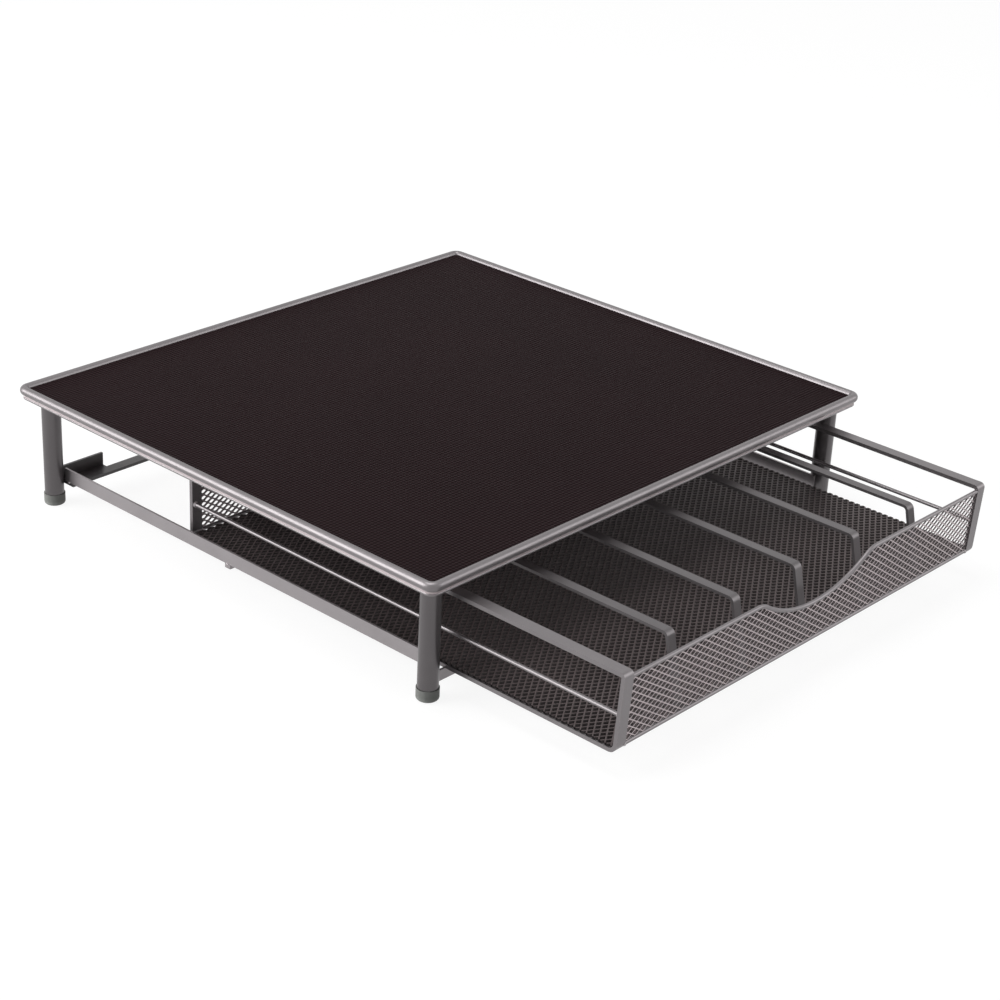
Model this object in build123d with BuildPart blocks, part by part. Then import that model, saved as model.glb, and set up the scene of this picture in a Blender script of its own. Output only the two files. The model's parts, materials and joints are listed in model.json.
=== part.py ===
from build123d import *
import math
import os

# Coffee pod drawer, in millimetres. +Z is up, the drawer opens towards -Y.
# The origin lies on the worktop, under the middle of the whole outline with the drawer
# pulled out as far as it is shown.

# ---- driving dimensions: the stand ----
deck_width = 350.0        # over the rim, left to right
deck_depth = 320.0        # over the rim, front to back
total_height = 70.8       # worktop to the top of the rim
rim_dia = 5.0             # round tube around the deck
rim_corner = 4.0          # corner radius on the tube's centre line
lip_dia = 1.6             # thin wire under the edge of the sheet
sheet_thick = 1.0         # sheet under the mat
sheet_tuck = 0.8          # how far the sheet reaches past the rim's centre line
mat_drop = 1.8            # top of the rim to the top of the mat
mat_gap = 0.2             # between the mat's edge and the rim

leg_dia = 10.8
leg_wall = 1.2
leg_inset = 11.0          # leg axis to the rim's centre line, both ways
cap_dia = 11.8
cap_height = 6.5
cap_floor = 2.0           # thickness of the cap under the tube
cap_round = 1.5           # rounded lower edge of the cap
cap_gap = 0.05            # between the tube and the cap around it

bar_thick = 1.2           # flat bar on edge: side rails and front cross bar
bar_gap = 0.3             # foot caps to the lower edge of the front cross bar
bar_height = 6.0
rail_height = 7.7
strip_thick = 1.8         # rear cross strip and the brackets' flanges
brace_width = 4.0
brace_thick = 2.5         # middle strip
brace_shift = 6.0         # middle strip's centre, behind the centre of the deck
rear_strip_width = 7.0
flange_depth = 3.0        # brackets' flanges, from the rear strip to the stop plates
bracket_length = 29.0     # stop brackets, along the rear strip
bracket_height = 9.3      # from under the flange to the top of the plate
bracket_thick = 1.5

# ---- driving dimensions: the drawer ----
pulled_out = 98.0         # drawer front beyond the rim, as shown
rail_gap = 3.9            # between the drawer and the rail beside it
drawer_depth = 300.0
drawer_height = 43.0
front_lean = 2.2          # top of the front beyond its foot
run_gap = 0.3             # drawer above the cross bars it slides on
stop_gap = 0.5            # pushed in, drawer back to the stop brackets
kept_in = 74.0            # drawer still under the deck at full reach

frame_width = 6.5         # flat strip of the side frames
frame_thick = 2.2
frame_corner_low = 5.0
frame_corner_top = 2.6
wire_dia = 2.2            # round wires of the drawer
rod_inset = 2.1           # side rod's axis from the outer side of the frame
rod_rise = 20.0           # and above the frame's underside
dip_width = 100.0         # scooped dip of the front wire
dip_depth = 14.7
dip_shoulder = 14.0       # radius of the two upper bends
net_thick = 1.0
net_gap = 0.1             # between a net's edge and the wire along it
net_ledge = 0.6           # strip of the side frames left bare outside the floor net

columns = 6               # rows of pods, side by side
divider_width = 5.5
divider_thick = 1.6
divider_height = 41.3     # drawer underside to the top of a divider
divider_slope = 9.0       # foot of a divider beyond its upper bend
divider_bend = 3.5

# Nets: the solid edge, the bars between the gaps, and about how far apart the gaps are.
net_margin = 2.4
net_bar = 1.5
wall_pitch_x = 11.0       # front and back
wall_pitch_y = 4.2
floor_pitch_x = 17.0
floor_pitch_y = 19.0

# ---- places worked out from them ----
wire_rise = frame_thick + wire_dia / 2   # axes of the wires across, inside the frames' flats
deck_y = pulled_out / 2
deck_front = deck_y - deck_depth / 2
rim_z = total_height - rim_dia / 2
rim_half_x = (deck_width - rim_dia) / 2
rim_half_y = (deck_depth - rim_dia) / 2
sheet_top = total_height - rim_dia
sheet_low = sheet_top - sheet_thick
leg_x = rim_half_x - leg_inset
leg_y = rim_half_y - leg_inset
inner_x = leg_x - leg_dia / 2            # rails and cross bars end against the legs' inner sides
bar_top = cap_height + bar_gap + bar_height
ear_radius = bar_height - strip_thick    # brackets' ears, down to the bar's lower edge
front_bar_y = deck_y - leg_y
stop_y = deck_y + leg_y
rail_front = front_bar_y - bar_thick / 2
rear_strip_back = stop_y - flange_depth
rear_strip_front = rear_strip_back - rear_strip_width

drawer_low = bar_top + run_gap
drawer_top = drawer_low + drawer_height
drawer_front = deck_front - pulled_out
drawer_back = drawer_front + drawer_depth
foot_front = drawer_front + front_lean   # lower front edge of the drawer
drawer_width = 2 * (inner_x - bar_thick - rail_gap)
frame_in = drawer_width / 2 - frame_width
back_mid = drawer_back - frame_thick / 2
floor_low = drawer_low + frame_thick
floor_top = floor_low + net_thick
column_pitch = drawer_width / columns
travel_in = stop_y - stop_gap - drawer_back
travel_out = drawer_depth - kept_in - pulled_out

# The front leans: its plane runs up the middle of the side frames' front posts.
front_rise = math.hypot(drawer_height, front_lean)
front_plane = Plane(
    origin=(0, foot_front + frame_thick / 2, drawer_low),
    x_dir=(1, 0, 0),
    z_dir=(0, -drawer_height, -front_lean),
)
back_plane = Plane(origin=(0, back_mid, drawer_low), x_dir=(1, 0, 0), z_dir=(0, -1, 0))

# The dip is three arcs: two shoulders and a wide bowl that run into each other.
dip_turn = 2 * math.atan2(dip_depth, dip_width / 2)
dip_bowl = dip_width / 2 / math.sin(dip_turn) - dip_shoulder

made = []


def keep(part, name):
    """Label a finished piece and remember it for writing."""
    part.label = name
    made.append(part)


def dip_at(x, drop):
    """How far the dip reaches down at x, on a line that runs drop below the front wire's axis."""
    x = abs(x)
    shoulder, bowl = dip_shoulder - drop, dip_bowl + drop
    if x >= dip_width / 2:
        return 0.0
    if x > bowl * math.sin(dip_turn):
        return shoulder - math.sqrt(shoulder**2 - (dip_width / 2 - x) ** 2)
    return dip_depth - bowl + math.sqrt(bowl**2 - x**2)


def wire_ring(dia, height):
    """Round stock bent into the closed outline of the deck."""
    corners = [(-1, -1), (1, -1), (1, 1), (-1, 1)]
    with BuildPart() as ring:
        with BuildLine(Plane(origin=(0, deck_y, height))) as route:
            FilletPolyline(
                [(sx * rim_half_x, sy * rim_half_y) for sx, sy in corners],
                radius=rim_corner,
                close=True,
            )
        with BuildSketch(Plane(origin=route.line @ 0, z_dir=route.line % 0)):
            Circle(dia / 2)
        sweep()
    return ring.part


def deck_plate(reach, low, top):
    """Flat plate with the deck's outline, its edge moved by reach from the rim's centre line."""
    with BuildPart() as plate:
        with BuildSketch(Plane(origin=(0, deck_y, low))):
            RectangleRounded(
                2 * (rim_half_x + reach),
                2 * (rim_half_y + reach),
                rim_corner + reach,
            )
        extrude(amount=top - low)
    return plate.part


def leg(x, y):
    """Round tube from the foot cap up to the sheet."""
    with BuildPart() as tube:
        with BuildSketch(Plane(origin=(x, y, cap_floor))):
            Circle(leg_dia / 2)
            Circle(leg_dia / 2 - leg_wall, mode=Mode.SUBTRACT)
        extrude(amount=sheet_low - cap_floor)
    return tube.part


def foot_cap(x, y):
    """Plastic cup over the end of a leg, rounded where it meets the worktop."""
    bore = leg_dia / 2 + cap_gap
    with BuildPart() as cap:
        with BuildSketch(Plane(origin=(x, y, 0), x_dir=(1, 0, 0), z_dir=(0, -1, 0))) as half:
            with BuildLine():
                Polyline(
                    (0, 0),
                    (cap_dia / 2, 0),
                    (cap_dia / 2, cap_height),
                    (bore, cap_height),
                    (bore, cap_floor),
                    (0, cap_floor),
                    close=True,
                )
            make_face()
            heel = half.vertices().group_by(Axis.Y)[0].sort_by(Axis.X)[-1]
            fillet(heel, cap_round)
        revolve(axis=Axis((x, y, 0), (0, 0, 1)))
    return cap.part


def side_rail(side):
    """Flat bar on edge, standing on the three cross pieces beside the drawer."""
    with BuildPart() as rail:
        with BuildSketch(Plane.XY.offset(bar_top)):
            with Locations((side * (inner_x - bar_thick / 2), (rail_front + rear_strip_back) / 2)):
                Rectangle(bar_thick, rear_strip_back - rail_front)
        extrude(amount=rail_height)
    return rail.part


def cross_piece(y_low, y_high, depth):
    """Bar or strip across the stand, from leg to leg, with its top at the sliding level."""
    with BuildPart() as piece:
        with BuildSketch(Plane.XY.offset(bar_top)):
            with Locations((0, (y_low + y_high) / 2)):
                Rectangle(2 * inner_x, y_high - y_low)
        extrude(amount=-depth)
    return piece.part


def stop_bracket(side):
    """Angle behind the rear strip: flange, upright stop plate and a curved ear by the leg."""
    flange_low = bar_top - strip_thick
    plate_top = flange_low + bracket_height
    ear_low = flange_low - ear_radius
    ear_mid = (1 - math.sqrt(0.5)) * ear_radius
    with BuildPart() as bracket:
        with BuildSketch(Plane(origin=(0, stop_y, 0), x_dir=(1, 0, 0), z_dir=(0, -1, 0))):
            with BuildLine():
                Polyline(
                    (side * inner_x, ear_low),
                    (side * inner_x, plate_top),
                    (side * (inner_x - bracket_length), plate_top),
                    (side * (inner_x - bracket_length), flange_low),
                    (side * (inner_x - ear_radius), flange_low),
                )
                ThreePointArc(
                    (side * (inner_x - ear_radius), flange_low),
                    (side * (inner_x - ear_mid), flange_low - ear_mid),
                    (side * inner_x, ear_low),
                )
            make_face()
        extrude(amount=-bracket_thick)
        with BuildSketch(Plane.XY.offset(flange_low)):
            with Locations((side * (inner_x - bracket_length / 2), (rear_strip_back + stop_y) / 2)):
                Rectangle(bracket_length, stop_y - rear_strip_back)
        extrude(amount=strip_thick)
    return bracket.part


def frame_outline():
    """Side view of a drawer side: the outer edge of its strip, front to the left."""
    with BuildSketch(Plane.YZ) as outline:
        with BuildLine():
            Polyline(
                (foot_front, drawer_low),
                (drawer_back, drawer_low),
                (drawer_back, drawer_top),
                (drawer_front, drawer_top),
                close=True,
            )
        make_face()
        fillet(outline.vertices().group_by(Axis.Y)[0], frame_corner_low)
        fillet(outline.vertices().group_by(Axis.Y)[-1], frame_corner_top)
    return outline.sketch_local


def side_frame(side):
    """Flat strip bent into a closed frame, its flat across the drawer."""
    outline = frame_outline()
    with BuildPart() as frame:
        with BuildSketch(Plane.YZ.offset(side * drawer_width / 2)):
            add(outline)
            offset(outline, amount=-frame_thick, mode=Mode.SUBTRACT)
        extrude(amount=-side * frame_width)
    return frame.part


def side_rod(side):
    """Round rod along the drawer's side, butted against the frame's front and back posts."""
    outline = frame_outline()
    with BuildPart() as rod:
        with BuildSketch(Plane.XZ.offset(-drawer_back)):
            with Locations((side * (drawer_width / 2 - rod_inset), drawer_low + rod_rise)):
                Circle(wire_dia / 2)
        extrude(amount=drawer_depth)
        with BuildSketch(Plane.YZ.offset(side * drawer_width / 2)):
            offset(outline, amount=-frame_thick)
        extrude(amount=-side * frame_width, mode=Mode.INTERSECT)
    return rod.part


def straight_wire(plane, rise):
    """Round wire between the side frames, at a height up the front or the back."""
    with BuildPart() as wire:
        with BuildSketch(Plane(origin=plane.from_local_coords((-frame_in, rise, 0)), z_dir=(1, 0, 0))):
            Circle(wire_dia / 2)
        extrude(amount=2 * frame_in)
    return wire.part


def dipped_line(drop):
    """Draw a line drop below the front wire's axis and parallel to it, dip and all."""
    half = dip_width / 2
    rise = front_rise - wire_rise - drop
    join = (dip_bowl + drop) * math.sin(dip_turn)
    join_rise = rise - dip_at(join, drop)
    Line((-frame_in, rise), (-half, rise))
    fall = TangentArc((-half, rise), (-join, join_rise), tangent=(1, 0))
    bowl = TangentArc((-join, join_rise), (join, join_rise), tangent=fall % 1)
    TangentArc((join, join_rise), (half, rise), tangent=bowl % 1)
    Line((half, rise), (frame_in, rise))


def dipped_wire():
    """Front top wire, bent down in the middle for the fingers."""
    with BuildLine() as route:
        dipped_line(0)
    path = front_plane.location * route.wire()
    with BuildPart() as wire:
        with BuildSketch(Plane(origin=path @ 0, z_dir=(1, 0, 0))):
            Circle(wire_dia / 2)
        sweep(path=path)
    return wire.part


def net(plane, outline, pitch, size, centre, sag=None):
    """Sheet net: one flat holed face, made thick across its middle plane.

    sag(x) says how far the upper edge hangs at x.
    """
    field_x, field_y = (length - 2 * net_margin + net_bar for length in size)
    count_x, count_y = round(field_x / pitch[0]), round(field_y / pitch[1])
    pitch_x, pitch_y = field_x / count_x, field_y / count_y
    hole_x, hole_y = pitch_x - net_bar, pitch_y - net_bar
    edge = centre[1] + field_y / 2
    holes = []
    for spot in GridLocations(pitch_x, pitch_y, count_x, count_y).local_locations:
        x, y = centre[0] + spot.position.X, centre[1] + spot.position.Y
        hang = max(sag(x - hole_x / 2), sag(x + hole_x / 2)) if sag else 0.0
        if y + hole_y / 2 < edge - hang:
            holes.append(Wire.make_rect(hole_x, hole_y, Plane((x, y, 0))))
    with BuildPart() as sheet:
        with BuildSketch(plane.offset(-net_thick / 2)):
            add(Face(outline.face().outer_wire(), holes))
        extrude(amount=net_thick)
    return sheet.part


def front_net():
    """Mesh of the front, its upper edge following the dipped wire."""
    drop = wire_dia / 2 + net_gap
    low = wire_rise + drop
    top = front_rise - wire_rise - drop
    with BuildSketch() as outline:
        with BuildLine():
            dipped_line(drop)
            Polyline((frame_in, top), (frame_in, low), (-frame_in, low), (-frame_in, top))
        make_face()
    size = 2 * frame_in, top - low
    centre = 0, (low + top) / 2
    pitch = wall_pitch_x, wall_pitch_y
    return net(front_plane, outline.sketch, pitch, size, centre, lambda x: dip_at(x, drop))


def rear_net():
    """Mesh of the back, between the two rear wires."""
    low = wire_rise + wire_dia / 2 + net_gap
    top = drawer_height - low
    size = 2 * frame_in, top - low
    centre = 0, (low + top) / 2
    with BuildSketch() as outline:
        with Locations(centre):
            Rectangle(*size)
    return net(back_plane, outline.sketch, (wall_pitch_x, wall_pitch_y), size, centre)


def floor_net():
    """Mesh of the floor, lying on the side frames' lower strips."""
    front = foot_front + frame_thick / 2 + wire_dia / 2 + net_gap
    back = back_mid - wire_dia / 2 - net_gap
    ledge_front, ledge_back = foot_front + frame_corner_low, drawer_back - frame_corner_low
    plane = Plane.XY.offset(floor_low + net_thick / 2)
    centre = 0, (front + back) / 2
    with BuildSketch() as outline:
        with Locations(centre):
            Rectangle(2 * frame_in, back - front)
        with Locations((0, (ledge_front + ledge_back) / 2)):
            Rectangle(drawer_width - 2 * net_ledge, ledge_back - ledge_front)
    size = 2 * frame_in, back - front
    return net(plane, outline.sketch, (floor_pitch_x, floor_pitch_y), size, centre)


def divider(x):
    """Flat strip over the floor, both ends bent down and out to the foot of front and back."""
    front_foot = foot_front + frame_thick / 2 + net_thick / 2 + divider_thick
    back_foot = back_mid - net_thick / 2 - divider_thick
    top = drawer_low + divider_height
    deep = floor_top - 2 * divider_thick
    reach = divider_slope * (floor_top - deep) / (top - floor_top)
    with BuildSketch() as outer:
        with BuildLine():
            Polyline(
                (front_foot - reach, deep),
                (front_foot + divider_slope, top),
                (back_foot - divider_slope, top),
                (back_foot + reach, deep),
                close=True,
            )
        make_face()
        fillet(outer.vertices().group_by(Axis.Y)[-1], divider_bend)
    with BuildPart() as strip:
        with BuildSketch(Plane.YZ.offset(x)):
            add(outer.sketch)
            offset(outer.sketch, amount=-divider_thick, mode=Mode.SUBTRACT)
            with Locations((0, (deep + floor_top) / 2)):
                Rectangle(2 * drawer_depth, floor_top - deep, mode=Mode.SUBTRACT)
        extrude(amount=divider_width / 2, both=True)
    return strip.part


# ---- the stand ----
keep(wire_ring(rim_dia, rim_z), "deck_rim")
keep(wire_ring(lip_dia, sheet_low - lip_dia / 2), "deck_lip")
keep(deck_plate(sheet_tuck, sheet_low, sheet_top), "deck_sheet")
keep(deck_plate(-rim_dia / 2 - mat_gap, sheet_top, total_height - mat_drop), "deck_mat")

for end, y in (("front", deck_y - leg_y), ("rear", deck_y + leg_y)):
    for hand, side in (("left", -1), ("right", 1)):
        keep(leg(side * leg_x, y), f"leg_{end}_{hand}")
        keep(foot_cap(side * leg_x, y), f"foot_cap_{end}_{hand}")

keep(cross_piece(front_bar_y - bar_thick / 2, front_bar_y + bar_thick / 2, bar_height), "front_bar")
brace_y = deck_y + brace_shift
keep(cross_piece(brace_y - brace_width / 2, brace_y + brace_width / 2, brace_thick), "middle_strip")
keep(cross_piece(rear_strip_front, rear_strip_back, strip_thick), "rear_strip")

for hand, side in (("left", -1), ("right", 1)):
    keep(side_rail(side), f"rail_{hand}")
    keep(stop_bracket(side), f"stop_bracket_{hand}")

# ---- the drawer ----
for hand, side in (("left", -1), ("right", 1)):
    keep(side_frame(side), f"side_frame_{hand}")
    keep(side_rod(side), f"side_rod_{hand}")

keep(dipped_wire(), "front_top_wire")
keep(straight_wire(front_plane, wire_rise), "front_low_wire")
keep(straight_wire(back_plane, drawer_height - wire_rise), "rear_top_wire")
keep(straight_wire(back_plane, wire_rise), "rear_low_wire")
keep(front_net(), "front_net")
keep(floor_net(), "floor_net")
keep(rear_net(), "rear_net")

for number in range(1, columns):
    keep(divider((number - columns / 2) * column_pitch), f"divider_{number}")

os.makedirs("parts", exist_ok=True)
for piece in made:
    export_step(piece, f"parts/{piece.label}.step")
print(f"{len(made)} pieces, slide from -{travel_in:.1f} to {travel_out:.1f} mm")
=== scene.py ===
"""Coffee pod drawer: meshes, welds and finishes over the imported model, with a plain stage."""

import json
import math
import bmesh
import bpy
import numpy as np
from mathutils import Matrix, Vector


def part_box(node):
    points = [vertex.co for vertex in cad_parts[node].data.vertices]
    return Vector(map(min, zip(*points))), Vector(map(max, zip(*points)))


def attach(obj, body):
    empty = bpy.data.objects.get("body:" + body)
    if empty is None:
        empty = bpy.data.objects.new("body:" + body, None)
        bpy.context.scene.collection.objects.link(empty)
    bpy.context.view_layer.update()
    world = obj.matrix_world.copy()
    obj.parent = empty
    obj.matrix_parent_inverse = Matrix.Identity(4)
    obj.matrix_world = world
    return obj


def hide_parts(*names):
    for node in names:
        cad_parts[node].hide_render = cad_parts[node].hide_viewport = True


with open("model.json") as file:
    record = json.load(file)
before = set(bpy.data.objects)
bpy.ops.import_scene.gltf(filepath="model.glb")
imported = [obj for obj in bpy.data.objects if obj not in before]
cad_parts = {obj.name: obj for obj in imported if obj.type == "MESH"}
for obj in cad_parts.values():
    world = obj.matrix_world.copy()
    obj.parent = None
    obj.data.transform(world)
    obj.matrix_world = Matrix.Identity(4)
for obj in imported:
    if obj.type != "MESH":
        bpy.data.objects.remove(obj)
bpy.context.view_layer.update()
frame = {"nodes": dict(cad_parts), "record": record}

bl_info = {
    "name": "Coffee Pod Drawer",
    "version": (1, 0, 0),
    "blender": (4, 5, 0),
    "location": "3D View > Sidebar > Pod Drawer",
    "description": "Expanded metal, welds, mat and paint for a drawer under a matted deck",
    "category": "Object",
}

MM = 0.001
HANDS = ("left", "right")

# Stage: metres, watts, degrees and millimetres of lens.
SKY_LIGHT, SKY_SEEN = 0.13, 1.0
FLOOR_GLOW, FLOOR_GLOW_SHARE, FLOOR_REACH = 1.28, 0.7, 6.0
LAMPS = (
    # name, place, aim, size, power
    ("key", (-1.35, 1.0, 0.7), (0.0, 0.0, 0.04), 1.3, 30.0),
    ("top", (-0.2, 0.2, 1.6), (0.0, 0.05, 0.05), 0.9, 12.0),
    ("front", (1.2, -1.2, 0.75), (0.0, -0.1, 0.03), 1.1, 8.0),
)
CAMERA_PLACE = (-0.8480, -0.7458, 0.5600)
CAMERA_TURN = (48.48, 25.58, 2.88)  # yaw, pitch, roll
CAMERA_LENS = 81.21

# Expanded metal: share of the slant, and half length of the flat at a diamond's ends.
FRONT_LEAN, FRONT_BLUNT = 0.2, 0.3 * MM
REAR_LEAN, REAR_BLUNT = 0.3, 0.45 * MM

# Weld beads: size of a lump across, along and up.
ROD_BEAD = (3.4 * MM, 2.6 * MM, 3.6 * MM)
WIRE_BEAD = (2.4 * MM, 2.6 * MM, 2.8 * MM)
BAR_BEAD = (2.6 * MM, 2.2 * MM, 1.4 * MM)

# Paints: colour, how light, metallic, roughness, and for a mesh the axis across it, where the
# strands' cut sides get painted shade.
# The paint-coloured coats below are one silver-grey powder coat in lighter and darker copies: the
# darker strips and legs are painted shade, the lighter bars painted light, the lighter weld beads a
# painted highlight.
PAINTS = {
    # mesh_paint: a lighter copy of the coat, a painted highlight on the strands.
    "mesh_paint": ("mesh", 0.5, 0.65, 0.34, "Y"),
    # Floor mesh coat: duller, and darker as painted shade for the inside of the drawer.
    "floor_paint": ("floor", 0.45, 0.3, 0.5, "Z"),
    "weld_paint": ("paint", 1.1, 0.2, 0.36),
    "wire_paint": ("paint", 0.42, 0.8, 0.38),
    "sheet_paint": ("mesh", 0.6, 0.2, 0.45),
    "strip_paint": ("paint", 0.28, 0.75, 0.38),
    "bar_paint": ("paint", 0.62, 0.6, 0.38),
    "leg_paint": ("paint", 0.25, 0.75, 0.33),
    # Rear strip and stop brackets: the same coat darkened as painted shade, for the shadow under
    # the deck.
    "rear_paint": ("paint", 0.15, 0.15, 0.42),
}
SLOT_PAINTS = {
    "wire": "wire_paint",
    "net": "sheet_paint",
    "strip": "strip_paint",
    "bar": "bar_paint",
    "leg": "leg_paint",
}
# Pieces low at the back whose coat is darkened as painted shade.
REAR_SHADED = ("rear_strip", "stop_bracket_left", "stop_bracket_right")


# ---------------------------------------------------------------- shader maths


class Socket:
    """One output of a node tree, used in Python expressions on numbers."""

    def __init__(self, owner, output):
        self.owner = owner
        self.output = output

    def _with(self, operation, first, second):
        return self.owner.node("ShaderNodeMath", {"operation": operation}, {0: first, 1: second})

    def __add__(self, other):
        return self._with("ADD", self, other)

    def __sub__(self, other):
        return self._with("SUBTRACT", self, other)

    def __mul__(self, other):
        return self._with("MULTIPLY", self, other)

    def __rsub__(self, other):
        return self._with("SUBTRACT", other, self)

    def __pow__(self, other):
        return self._with("POWER", self, other)

    def maximum(self, other):
        return self._with("MAXIMUM", self, other)

    __radd__ = __add__
    __rmul__ = __mul__


class Shading:
    """The emptied node tree of a material or a world."""

    def __init__(self, owner):
        owner.use_nodes = True
        self.tree = owner.node_tree
        self.tree.nodes.clear()

    def node(self, kind, settings, sockets, output=0):
        """Add a node: its settings first, then the values or links of its sockets."""
        made = self.tree.nodes.new(kind)
        for name, value in settings.items():
            setattr(made, name, value)
        for name, value in sockets.items():
            self.feed(made.inputs[name], value)
        return Socket(self, made.outputs[output])

    def feed(self, socket, value):
        """Link a socket, or set it where the value is a plain number or colour."""
        if isinstance(value, Socket):
            self.tree.links.new(value.output, socket)
        else:
            socket.default_value = value

    def seen(self):
        """1 for what the camera sees straight or in a gloss or a glass, 0 for light."""
        camera, gloss, glass = (
            self.node("ShaderNodeLightPath", {}, {}, f"Is {kind} Ray")
            for kind in ("Camera", "Glossy", "Transmission")
        )
        return camera.maximum(gloss).maximum(glass)


class Finish(Shading):
    """A material with one main shader."""

    def __init__(self, name, **constants):
        self.material = bpy.data.materials.new(name)
        super().__init__(self.material)
        self.shader = self.tree.nodes.new("ShaderNodeBsdfPrincipled")
        self.surface(**constants)
        self.out = self.tree.nodes.new("ShaderNodeOutputMaterial")
        self.tree.links.new(self.shader.outputs[0], self.out.inputs["Surface"])

    def surface(self, **sockets):
        """Feed the main shader's sockets, named with _ for a space."""
        for name, value in sockets.items():
            self.feed(self.shader.inputs[name.replace("_", " ")], value)

    def place(self):
        """Position on the piece, in metres."""
        return self.node("ShaderNodeTexCoord", {}, {}, "Object")

    def noise(self, place, scale, detail=2.0, roughness=0.5):
        """Soft blotches from 0 to 1, scale of them to the metre."""
        sockets = {"Vector": place, "Scale": scale, "Detail": detail, "Roughness": roughness}
        return self.node("ShaderNodeTexNoise", {}, sockets, "Fac")

    def blend(self, share, first, second):
        """Mix two colours by a share from 0 to 1."""
        settings = {"data_type": "RGBA", "clamp_factor": True}
        return self.node("ShaderNodeMix", settings, {0: share, 6: first, 7: second}, 2)

    def axis(self, place, letter):
        """One coordinate of a position."""
        return self.node("ShaderNodeSeparateXYZ", {}, {"Vector": place}, letter)

    def bump(self, height, strength, distance):
        """Surface normal pushed about by a height from 0 to 1."""
        sockets = {"Height": height, "Strength": strength, "Distance": distance}
        return self.node("ShaderNodeBump", {}, sockets, "Normal")


def shade(colour, times):
    """A colour made lighter or darker, with its alpha."""
    return (*(min(1.0, part * times) for part in colour[:3]), 1.0)


def satin_paint(name, colour, metallic, roughness, across=None):
    """Powder coat with metal flake: cloudy tone, fine grain and a few dull handling marks.

    across names the axis across a mesh: there the cut sides of the strands get painted shade, near
    black.
    """
    coat = Finish(name, IOR=1.5, Coat_Roughness=0.3)
    place = coat.place()
    clouds = coat.noise(place, 45.0, 3.0)
    grain = coat.noise(place, 2600.0, 1.0)
    marks = coat.noise(place, 120.0, 4.0, 0.7)
    tone = clouds * 0.65 + grain * 0.35
    base = coat.blend(tone, shade(colour, 0.82), shade(colour, 1.18))
    # Painted shade: faces side-on to that axis, the strands' cut sides, are blended to near black.
    if across:
        facing = coat.axis(coat.node("ShaderNodeTexCoord", {}, {}, "Normal"), across)
        base = coat.blend(facing * facing, shade(colour, 0.05), base)
    coat.surface(
        Base_Color=base,
        Metallic=metallic,
        Roughness=marks * 0.16 + (roughness - 0.08),
        Normal=coat.bump(grain * 0.6 + marks * 0.4, 0.25, 0.00012),
    )
    return coat.material


def paint_called(name, colours):
    """One of PAINTS, from the colours that the panel shows."""
    colour, light, *finish = PAINTS[name]
    return satin_paint(name, shade(getattr(colours, colour), light), *finish)


def woven_mat(name, colour, light, pitch):
    """Anti-slip mat: fine raised knots in staggered rows, dark between them, the knots lighter as a
    painted highlight.
    """
    mat = Finish(name, IOR=1.45, Specular_IOR_Level=0.02)
    place = mat.place()
    across = mat.axis(place, "X")
    along = mat.axis(place, "Y")
    half_turn = math.pi / pitch
    row = mat.node("ShaderNodeMath", {"operation": "SINE"}, {0: (across + along) * half_turn})
    column = mat.node("ShaderNodeMath", {"operation": "SINE"}, {0: (across - along) * half_turn})
    knots = row * column * 0.5 + 0.5
    highlight_patches = mat.noise(place, 14.0, 3.0)
    fluff = mat.noise(place, 900.0, 2.0)
    # Painted highlight: the knots take the lighter colour, stronger and weaker in broad patches.
    tone = knots**1.6 * 0.7 + fluff * 0.3
    high = mat.blend(highlight_patches, shade(light, 0.8), shade(light, 1.2))
    mat.surface(
        Base_Color=mat.blend(tone, colour, high),
        Roughness=0.52 - knots * 0.12 + fluff * 0.12,
        Normal=mat.bump(knots * 0.85 + fluff * 0.15, 1.0, 0.0007),
    )
    return mat.material


def moulded_cap(name, colour):
    """Soft plastic of the foot caps: matt, with scuffs towards the worktop."""
    cap = Finish(name, IOR=1.5, Specular_IOR_Level=0.4)
    place = cap.place()
    height = cap.axis(place, "Z")
    scuffs = cap.noise(place, 700.0, 4.0, 0.7)
    low = cap.node("ShaderNodeMapRange", {}, {0: height, 1: 0.0, 2: 0.003, 3: 1.0, 4: 0.0})
    dust = low * scuffs
    cap.surface(
        Base_Color=cap.blend(dust, colour, shade(colour, 2.2)),
        Roughness=scuffs * 0.2 + 0.5,
        Normal=cap.bump(scuffs, 0.2, 0.0001),
    )
    return cap.material


# ---------------------------------------------------------------- mesh making


def new_object(name, data):
    """Put a mesh, a lamp or a camera into the scene."""
    made = bpy.data.objects.new(name, data)
    bpy.context.scene.collection.objects.link(made)
    return made


def new_mesh(name, shape, material):
    """Turn a bmesh into a mesh object with one material."""
    mesh = bpy.data.meshes.new(name)
    shape.to_mesh(mesh)
    shape.free()
    mesh.materials.append(material)
    return new_object(name, mesh)


def new_piece(name, shape, body, material):
    """Put a bmesh into the scene as a piece that rides on a body."""
    piece = new_mesh(name, shape, material)
    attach(piece, body)
    return piece


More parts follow.
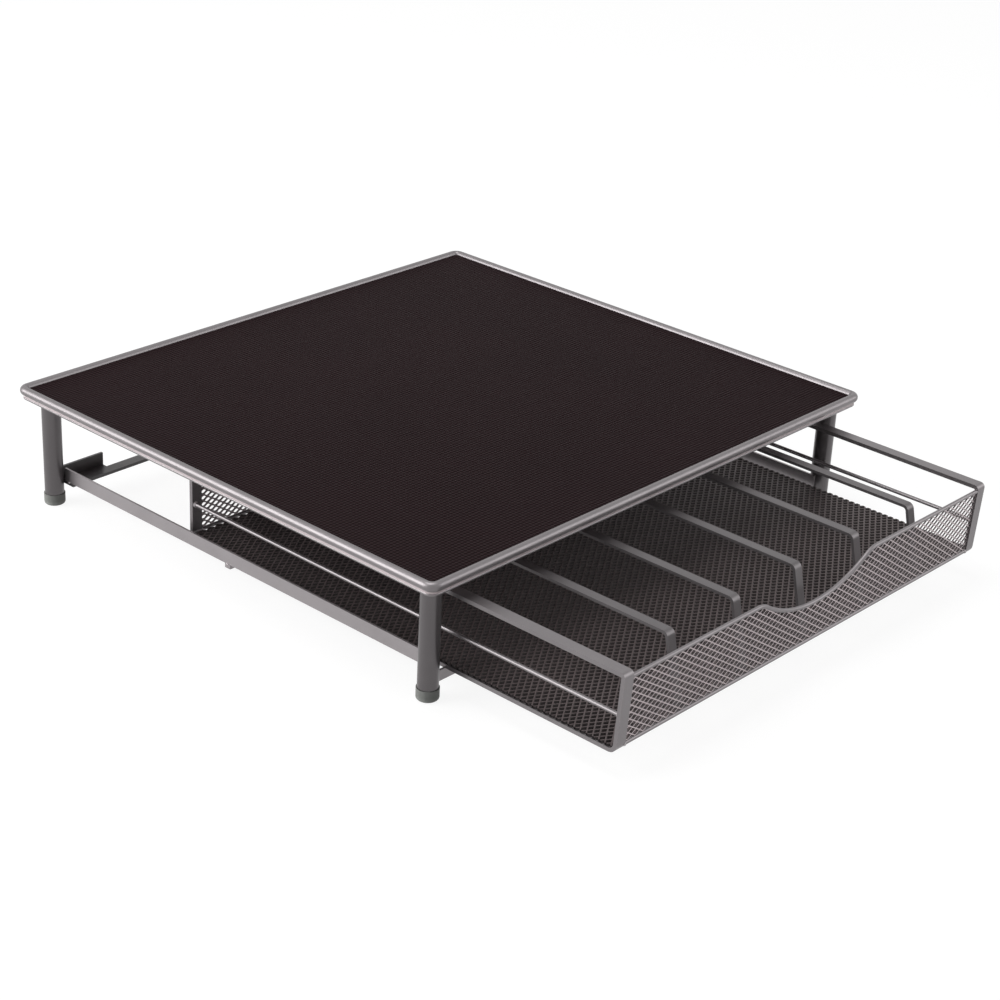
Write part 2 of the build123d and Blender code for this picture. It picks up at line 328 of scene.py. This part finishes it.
def diamond_mesh(size, cell, strand, depth, slant, blunt):
    """Expanded metal over a size, as a bmesh in the X-Y plane centred on the origin.

    cell is a diamond's long and short way, strand the width of a strand in the plane and
    depth its size across it. slant leans the strands like slats, blunt flattens the upper
    and lower end of each diamond by that half length.
    """
    half_x, half_y = cell[0] / 2, cell[1] / 2
    steep = math.atan2(half_y, half_x)
    gap_x = half_x - strand / 2 / math.sin(steep)
    gap_y = half_y - strand / 2 / math.cos(steep)
    rim = [(gap_x, 0.0)]
    if blunt:
        shoulder = gap_y * (1 - blunt / gap_x)
        rim += [(blunt, shoulder), (-blunt, shoulder), (-gap_x, 0.0)]
        rim += [(-blunt, -shoulder), (blunt, -shoulder)]
    else:
        rim += [(0.0, gap_y), (-gap_x, 0.0), (0.0, -gap_y)]
    count = len(rim)
    reach_x = math.ceil(size[0] / 2 / half_x) + 1
    reach_y = math.ceil(size[1] / 2 / half_y) + 1
    points, faces, knots = [], [], {}

    def knot(p, q):
        if (p, q) not in knots:
            knots[p, q] = len(points)
            x, y = p * half_x, q * half_y
            points.append((x, y - slant / 2, depth / 2))
            points.append((x, y + slant / 2, -depth / 2))
        return knots[p, q]

    for q in range(-reach_y, reach_y + 1):
        for p in range(-reach_x, reach_x + 1):
            if (p + q) % 2:
                continue
            corners = [knot(p + 1, q), knot(p, q + 1), knot(p - 1, q), knot(p, q - 1)]
            first = len(points)
            for x, y in rim:
                points.append((p * half_x + x, q * half_y + y - slant / 2, depth / 2))
                points.append((p * half_x + x, q * half_y + y + slant / 2, -depth / 2))
            if blunt:
                sides = [
                    (corners[0], corners[1], first + 2, first),
                    (corners[1], corners[2], first + 6, first + 4),
                    (corners[2], corners[3], first + 8, first + 6),
                    (corners[3], corners[0], first, first + 10),
                ]
                ends = [(corners[1], first + 4, first + 2), (corners[3], first + 10, first + 8)]
            else:
                sides = [
                    (corners[k], corners[(k + 1) % 4], first + 2 * ((k + 1) % 4), first + 2 * k)
                    for k in range(4)
                ]
                ends = []
            for face in sides + ends:
                faces.append(face)
                faces.append(tuple(corner + 1 for corner in reversed(face)))
            for k in range(count):
                here, there = first + 2 * k, first + 2 * ((k + 1) % count)
                faces.append((here, there, there + 1, here + 1))
    mesh = bpy.data.meshes.new("diamonds")
    mesh.from_pydata(points, [], faces)
    shape = bmesh.new()
    shape.from_mesh(mesh)
    bpy.data.meshes.remove(mesh)
    for normal, reach in (((1, 0, 0), size[0] / 2), ((0, 1, 0), size[1] / 2)):
        for way in (-1, 1):
            out = Vector(normal) * way
            bmesh.ops.bisect_plane(
                shape,
                geom=shape.verts[:] + shape.edges[:] + shape.faces[:],
                plane_co=out * reach,
                plane_no=out,
                clear_outer=True,
            )
    return shape


def under_line(shape, top_at):
    """Pull every point above a line down onto it, and drop the faces that this flattens."""
    for point in shape.verts:
        point.co.y = min(point.co.y, top_at(point.co.x))
    bmesh.ops.dissolve_degenerate(shape, dist=1e-6, edges=shape.edges[:])


def weld_blob(shape, spot, size, seed):
    """Add one weld bead: a squashed lump with uneven ripples."""
    made = bmesh.ops.create_icosphere(shape, subdivisions=3, radius=0.5)
    rng = np.random.default_rng(seed)
    waves = rng.uniform(2.0, 5.0, (4, 3)), rng.uniform(0.0, math.tau, 4)
    for point in made["verts"]:
        ripple = sum(math.sin(w @ np.array(point.co) * 3 + s) for w, s in zip(*waves)) / 4
        point.co *= 1 + 0.16 * ripple
        point.co = Vector(point.co[k] * size[k] for k in range(3)) + Vector(spot)


def middle(node):
    """Centre of a CAD node's box."""
    low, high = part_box(node)
    return (low + high) / 2


# ---------------------------------------------------------------- what a user may change


class PodDrawerMesh(bpy.types.PropertyGroup):
    """Sizes of the expanded metal."""

    long_way: bpy.props.FloatProperty(
        name="Long way", description="Width of one diamond", default=5.7 * MM, unit="LENGTH"
    )
    short_way: bpy.props.FloatProperty(
        name="Short way", description="Height of one diamond", default=3.75 * MM, unit="LENGTH"
    )
    strand: bpy.props.FloatProperty(
        name="Strand", description="Width of a strand", default=0.72 * MM, unit="LENGTH"
    )
    front_strand: bpy.props.FloatProperty(
        name="Front strand",
        description="Width of a strand of the front",
        default=0.55 * MM,
        unit="LENGTH",
    )
    wall_depth: bpy.props.FloatProperty(
        name="Wall depth",
        description="Strand depth across the front and the back",
        default=0.6 * MM,
        unit="LENGTH",
    )
    floor_depth: bpy.props.FloatProperty(
        name="Floor depth",
        description="Strand depth across the floor",
        default=1.25 * MM,
        unit="LENGTH",
    )
    slant: bpy.props.FloatProperty(
        name="Slant", description="Lean of the strands, as slats", default=0.8 * MM, unit="LENGTH"
    )
    dip_width: bpy.props.FloatProperty(
        name="Dip width", description="Width of the finger dip", default=100 * MM, unit="LENGTH"
    )
    dip_shoulder: bpy.props.FloatProperty(
        name="Dip shoulder",
        description="Bend radius at the two ends of the dip",
        default=14 * MM,
        unit="LENGTH",
    )


class PodDrawerColours(bpy.types.PropertyGroup):
    """Colours of the paint, the mat and the caps."""

    paint: bpy.props.FloatVectorProperty(
        name="Paint",
        description="Silver-grey powder coat of the wires and strips",
        size=4,
        subtype="COLOR",
        default=(0.47, 0.435, 0.447, 1.0),
    )
    # Painted highlight: the expanded metal is the coat made lighter than on the wires, for its
    # bright strands.
    mesh: bpy.props.FloatVectorProperty(
        name="Mesh",
        description="The same coat on the expanded metal",
        size=4,
        subtype="COLOR",
        default=(0.95, 0.82, 0.84, 1.0),
    )
    # Painted shade: the floor mesh's colour is the coat darkened for the shade inside the drawer
    # under the deck.
    floor: bpy.props.FloatVectorProperty(
        name="Floor mesh",
        description="Duller coat of the drawer's floor",
        size=4,
        subtype="COLOR",
        default=(0.22, 0.17, 0.17, 1.0),
    )
    mat: bpy.props.FloatVectorProperty(
        name="Mat",
        description="Ground of the mat",
        size=4,
        subtype="COLOR",
        default=(0.005, 0.003, 0.0033, 1.0),
    )
    # Painted highlight on the mat's raised knots.
    mat_knot_highlight: bpy.props.FloatVectorProperty(
        name="Mat knots",
        description="Raised knots of the mat",
        size=4,
        subtype="COLOR",
        default=(0.027, 0.013, 0.015, 1.0),
    )
    cap: bpy.props.FloatVectorProperty(
        name="Caps",
        description="Foot caps",
        size=4,
        subtype="COLOR",
        default=(0.20, 0.205, 0.195, 1.0),
    )
    knot_pitch: bpy.props.FloatProperty(
        name="Knot pitch", description="Between the mat's knots", default=2.2 * MM, unit="LENGTH"
    )


# ---------------------------------------------------------------- operators


class BuildStage(bpy.types.Operator):
    """Floor, lamps and camera"""

    bl_idname = "pod_drawer.stage"
    bl_label = "Stage"

    def execute(self, context):
        scene = context.scene
        scene.view_settings.view_transform = "Standard"
        self.world(scene)
        self.floor()
        for lamp in LAMPS:
            self.lamp(*lamp)
        self.camera(scene)
        return {"FINISHED"}

    def world(self, scene):
        """White where it is seen, a dim grey where it gives light."""
        world = bpy.data.worlds.new("studio")
        sky = Shading(world)
        dim, white = (
            sky.node("ShaderNodeBackground", {}, {"Color": (1.0, 1.0, 1.0, 1.0), "Strength": level})
            for level in (SKY_LIGHT, SKY_SEEN)
        )
        pick = sky.node("ShaderNodeMixShader", {}, {0: sky.seen(), 1: dim, 2: white})
        out = sky.tree.nodes.new("ShaderNodeOutputWorld")
        sky.feed(out.inputs["Surface"], pick)
        scene.world = world

    def floor(self):
        """Pale worktop that keeps the shadow and is seen as white."""
        finish = Finish("worktop", Roughness=0.6, Base_Color=(0.5, 0.5, 0.5, 1.0))
        plain = Socket(finish, finish.shader.outputs[0])
        glow = finish.node("ShaderNodeEmission", {}, {"Strength": FLOOR_GLOW})
        sockets = {0: finish.seen() * FLOOR_GLOW_SHARE, 1: plain, 2: glow}
        pick = finish.node("ShaderNodeMixShader", {}, sockets)
        finish.feed(finish.out.inputs["Surface"], pick)
        shape = bmesh.new()
        bmesh.ops.create_grid(shape, x_segments=8, y_segments=8, size=FLOOR_REACH)
        new_mesh("worktop", shape, finish.material)

    def lamp(self, name, place, aim, size, power):
        """Square soft lamp that faces a point."""
        light = bpy.data.lights.new(name, "AREA")
        light.size = size
        light.energy = power
        lamp = new_object(name, light)
        lamp.location = place
        lamp.rotation_euler = (Vector(aim) - Vector(place)).to_track_quat("-Z", "Y").to_euler()

    def camera(self, scene):
        """Camera at the photograph's place, turn, tilt and roll."""
        yaw, pitch, roll = (math.radians(angle) for angle in CAMERA_TURN)
        ahead = Vector((math.sin(yaw), math.cos(yaw), 0.0))
        look = ahead * math.cos(pitch) - Vector((0.0, 0.0, math.sin(pitch)))
        level = Vector((math.cos(yaw), -math.sin(yaw), 0.0))
        upright = level.cross(look)
        right = math.cos(roll) * level + math.sin(roll) * upright
        up = math.cos(roll) * upright - math.sin(roll) * level
        data = bpy.data.cameras.new("camera")
        data.lens = CAMERA_LENS
        data.sensor_width = 36.0
        turn = Matrix((right, up, -look)).transposed().to_4x4()
        scene.camera = new_object("camera", data)
        scene.camera.matrix_world = Matrix.Translation(CAMERA_PLACE) @ turn


class BuildMeshPanels(bpy.types.Operator):
    """Expanded metal of the drawer's front, back and floor"""

    bl_idname = "pod_drawer.mesh_panels"
    bl_label = "Mesh panels"

    def execute(self, context):
        sizes = context.scene.pod_drawer_mesh
        colours = context.scene.pod_drawer_colours
        self.coat = paint_called("mesh_paint", colours)
        # The floor's coat is duller and darkened as painted shade.
        self.dull = paint_called("floor_paint", colours)
        self.cell = sizes.long_way, sizes.short_way
        self.front(sizes)
        self.rear(sizes)
        self.floor(sizes)
        return {"FINISHED"}

    def front(self, sizes):
        """Leaning panel between the two front wires, cut along the dip."""
        low_min, low_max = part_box("front_low_wire")
        top_min, top_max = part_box("front_top_wire")
        radius = (low_max.z - low_min.z) / 2
        foot = (low_min + low_max) / 2
        head = Vector((foot.x, top_min.y + radius, top_max.z - radius))
        rise = (head - foot).length
        upward = (head - foot).normalized()
        deep = (top_max.z - top_min.z - 2 * radius) / upward.z
        half = sizes.dip_width / 2
        turn = 2 * math.atan2(deep, half)
        bowl = half / math.sin(turn) - sizes.dip_shoulder

        def top_at(x):
            x = abs(x)
            if x >= half:
                return rise / 2
            if x > bowl * math.sin(turn):
                over = sizes.dip_shoulder
                return rise / 2 - over + math.sqrt(over**2 - (half - x) ** 2)
            return rise / 2 - deep + bowl - math.sqrt(bowl**2 - x**2)

        shape = diamond_mesh(
            (low_max.x - low_min.x, rise),
            self.cell,
            sizes.front_strand,
            sizes.wall_depth,
            sizes.slant * FRONT_LEAN,
            FRONT_BLUNT,
        )
        under_line(shape, top_at)
        side = Vector((1.0, 0.0, 0.0))
        turn = Matrix((side, upward, side.cross(upward))).transposed().to_4x4()
        shape.transform(Matrix.Translation((head + foot) / 2) @ turn)
        piece = new_piece("front_mesh", shape, "drawer", self.coat)
        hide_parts("front_net")

    def rear(self, sizes):
        """Upright panel between the two rear wires."""
        foot, head = middle("rear_low_wire"), middle("rear_top_wire")
        low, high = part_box("rear_low_wire")
        shape = diamond_mesh(
            (high.x - low.x, head.z - foot.z),
            self.cell,
            sizes.strand,
            sizes.wall_depth,
            sizes.slant * REAR_LEAN,
            REAR_BLUNT,
        )
        turn = Matrix.Rotation(math.pi / 2, 4, "X")
        shape.transform(Matrix.Translation((head + foot) / 2) @ turn)
        piece = new_piece("rear_mesh", shape, "drawer", self.coat)
        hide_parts("rear_net")

    def floor(self, sizes):
        """Floor panel on the side frames' lower strips, its cut ends bare at both sides."""
        low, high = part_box("floor_net")
        shape = diamond_mesh(
            (high.x - low.x, high.y - low.y),
            self.cell,
            sizes.strand,
            sizes.floor_depth,
            -sizes.slant,
            0.0,
        )
        shape.transform(Matrix.Translation((low + high) / 2))
        piece = new_piece("floor_mesh", shape, "drawer", self.dull)
        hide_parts("floor_net")


class BuildWelds(bpy.types.Operator):
    """Weld beads where wires and strips meet"""

    bl_idname = "pod_drawer.welds"
    bl_label = "Welds"

    def execute(self, context):
        coat = paint_called("weld_paint", context.scene.pod_drawer_colours)
        shape = bmesh.new()
        for seed, hand in enumerate(HANDS):
            low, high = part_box(f"side_rod_{hand}")
            spot = (low + high) / 2
            for end in (low.y, high.y):
                weld_blob(shape, (spot.x, end, spot.z), ROD_BEAD, seed)
        for seed, wire in enumerate(("front_low_wire", "rear_top_wire", "rear_low_wire")):
            low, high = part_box(wire)
            spot = (low + high) / 2
            for end in (low.x, high.x):
                weld_blob(shape, (end, spot.y, spot.z), WIRE_BEAD, seed + 5)
        new_piece("drawer_welds", shape, "drawer", coat)
        shape = bmesh.new()
        for seed, strip in enumerate(("middle_strip", "rear_strip", "front_bar")):
            low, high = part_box(strip)
            for hand in HANDS:
                spot = (middle(f"rail_{hand}").x, (low.y + high.y) / 2, high.z)
                weld_blob(shape, spot, BAR_BEAD, seed + 9)
        new_piece("stand_welds", shape, "stand", coat)
        return {"FINISHED"}


class PaintFrame(bpy.types.Operator):
    """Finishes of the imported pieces"""

    bl_idname = "pod_drawer.paint"
    bl_label = "Paint"

    def execute(self, context):
        colours = context.scene.pod_drawer_colours
        coats = {slot: paint_called(name, colours) for slot, name in SLOT_PAINTS.items()}
        coats["mat"] = woven_mat("mat_weave", colours.mat, colours.mat_knot_highlight, colours.knot_pitch)
        coats["cap"] = moulded_cap("cap_plastic", colours.cap)
        # Painted shade: the rear strip and stop brackets take a darkened copy of the coat.
        dark = paint_called("rear_paint", colours)
        for part in frame["record"]["subparts"]:
            node = frame["nodes"][part["node"]]
            node.data.materials.clear()
            coat = dark if part["node"] in REAR_SHADED else coats[part["material_slot"]]
            node.data.materials.append(coat)
        return {"FINISHED"}


STEPS = (BuildStage, BuildMeshPanels, BuildWelds, PaintFrame)
GROUPS = {"pod_drawer_mesh": PodDrawerMesh, "pod_drawer_colours": PodDrawerColours}


class PodDrawerPanel(bpy.types.Panel):
    """Lists the drawer's sizes, colours and steps"""

    bl_idname = "VIEW3D_PT_pod_drawer"
    bl_label = "Pod Drawer"
    bl_space_type = "VIEW_3D"
    bl_region_type = "UI"
    bl_category = "Pod Drawer"

    def draw(self, context):
        for name, group in GROUPS.items():
            box = self.layout.box()
            for prop in group.__annotations__:
                box.prop(getattr(context.scene, name), prop)
        for step in STEPS:
            self.layout.operator(step.bl_idname)


CLASSES = (*GROUPS.values(), *STEPS, PodDrawerPanel)


def register():
    for made in CLASSES:
        bpy.utils.register_class(made)
    for name, group in GROUPS.items():
        setattr(bpy.types.Scene, name, bpy.props.PointerProperty(type=group))


def unregister():
    for name in GROUPS:
        delattr(bpy.types.Scene, name)
    for made in reversed(CLASSES):
        bpy.utils.unregister_class(made)


def main():
    """Build everything in order."""
    register()
    for step in STEPS:
        group, name = step.bl_idname.split(".")
        getattr(getattr(bpy.ops, group), name)()


if __name__ == "__main__":
    main()
